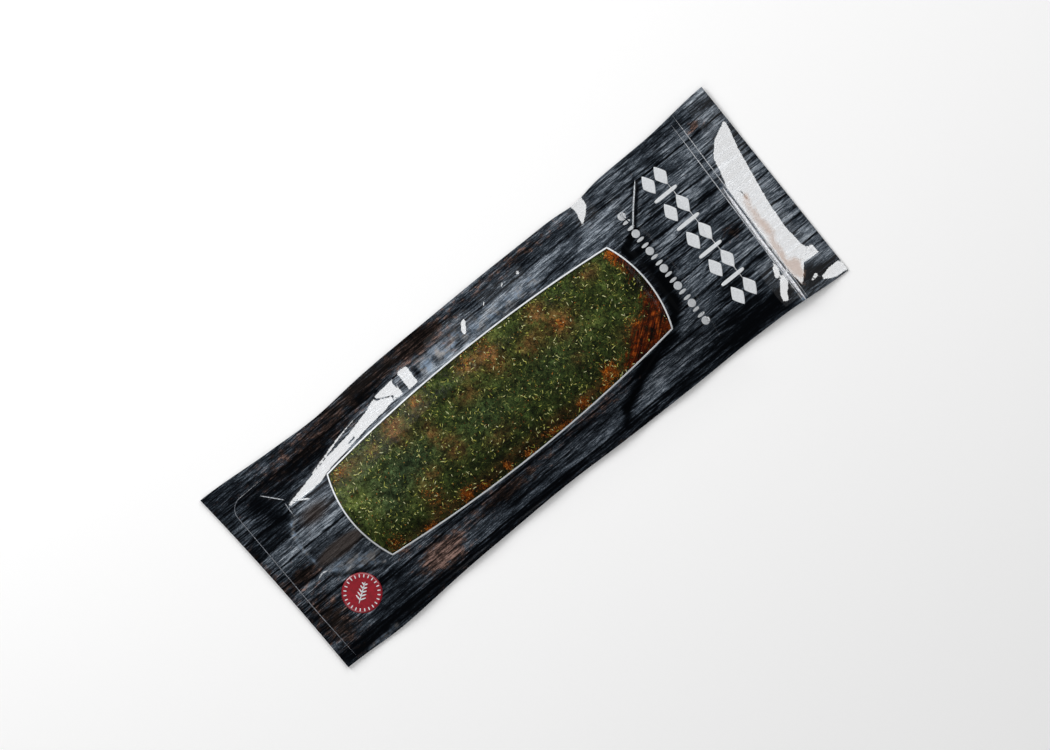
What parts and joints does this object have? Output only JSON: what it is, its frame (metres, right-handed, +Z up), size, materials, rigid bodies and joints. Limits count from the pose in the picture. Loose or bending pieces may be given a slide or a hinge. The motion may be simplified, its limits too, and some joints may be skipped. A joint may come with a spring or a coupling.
{
  "type": "gravlax in a vacuum pouch",
  "caption": "Long salmon fillet crusted with chopped dill, sealed flat in a printed film pouch with a barrel-shaped clear window and wide sealed hems.",
  "frame": {"origin": "middle of the pouch's footprint, on the surface that it lies on", "axes": "+X along the pouch from the fillet's tail to its cut end and the wide end flap, +Y across it, +Z up out of the window"},
  "size_m": [0.39, 0.1408, 0.0252],
  "materials": {
    "printed_film": "laminated film printed as charred planks, satin gloss, light sealed creases",
    "clear_film": "clear glossy film drawn tight by vacuum",
    "crusted_fish": "moist cured salmon under chopped dill, mustard seed and pepper"
  },
  "bodies": {
    "root": {"pouch": "printed_film", "window": "clear_film", "fillet": "crusted_fish"}
  },
  "joints": []
}
